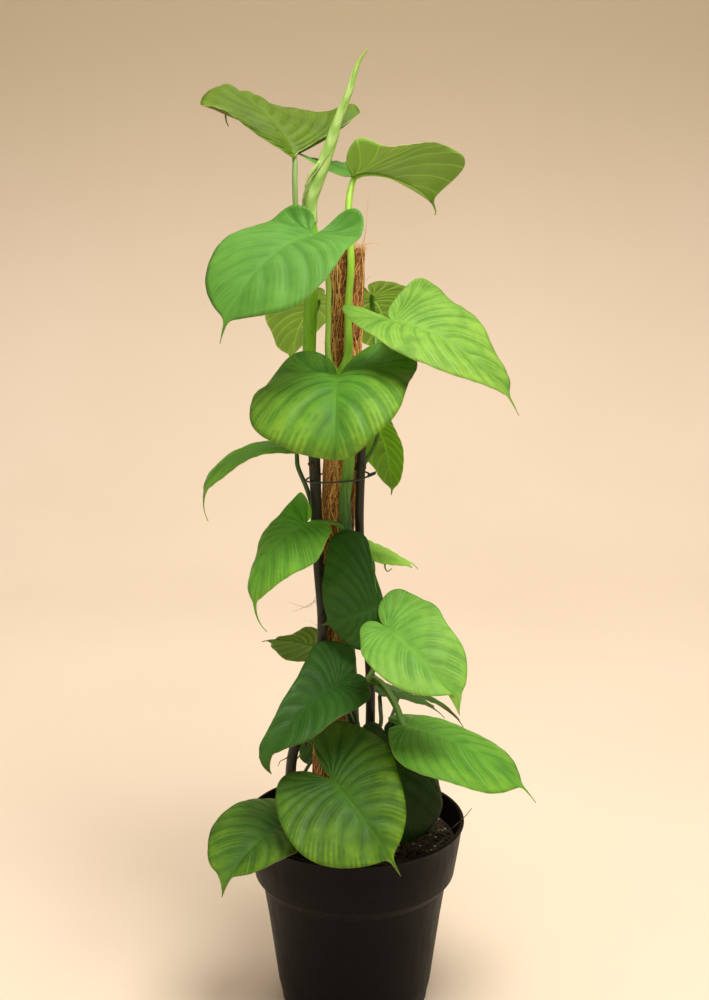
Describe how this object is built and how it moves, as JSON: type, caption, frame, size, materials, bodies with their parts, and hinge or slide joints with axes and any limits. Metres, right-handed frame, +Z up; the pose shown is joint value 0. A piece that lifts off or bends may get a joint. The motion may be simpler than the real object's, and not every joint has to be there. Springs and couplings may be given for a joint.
{
  "type": "potted climbing philodendron",
  "caption": "Climbing philodendron with ribbed, heart-shaped leaves on slender stalks, tied to a coir pole in a round plastic nursery pot.",
  "frame": {"origin": "centre of the pot's underside", "axes": "+Z up along the pot's axis, -Y towards the plant's front, +X to the right seen from the front"},
  "size_m": [0.2438, 0.2348, 0.7219],
  "materials": {
    "pot_plastic": "matte",
    "soil_mix": "rough",
    "stake_wood": "matte",
    "coir": "rough",
    "stem_green": "satin",
    "stem_dark": "satin",
    "tie": "satin",
    "spear_green": "satin",
    "leaf_young": "satin",
    "leaf_mid": "satin",
    "leaf_old": "satin"
  },
  "bodies": {
    "root": {"pot": "pot_plastic", "soil": "soil_mix", "pole_stake": "stake_wood", "coir_sleeve": "coir", "stem_front": "stem_green", "stem_left": "stem_dark", "stem_right": "stem_dark", "tie_wire": "tie", "spear": "spear_green", "leaf_01": "leaf_young", "leaf_02": "leaf_young", "leaf_03": "leaf_young", "leaf_04": "leaf_young", "leaf_05": "leaf_young", "leaf_06": "leaf_mid", "leaf_07": "leaf_young", "leaf_08": "leaf_mid", "leaf_09": "leaf_mid", "leaf_10": "leaf_mid", "leaf_11": "leaf_mid", "leaf_12": "leaf_mid", "leaf_13": "leaf_mid", "leaf_14": "leaf_old", "leaf_15": "leaf_old", "leaf_16": "leaf_old", "leaf_17": "leaf_old", "leaf_18": "leaf_mid", "leaf_19": "leaf_old", "leaf_20": "leaf_old", "leaf_21": "leaf_old", "leaf_22": "leaf_old"}
  },
  "joints": []
}
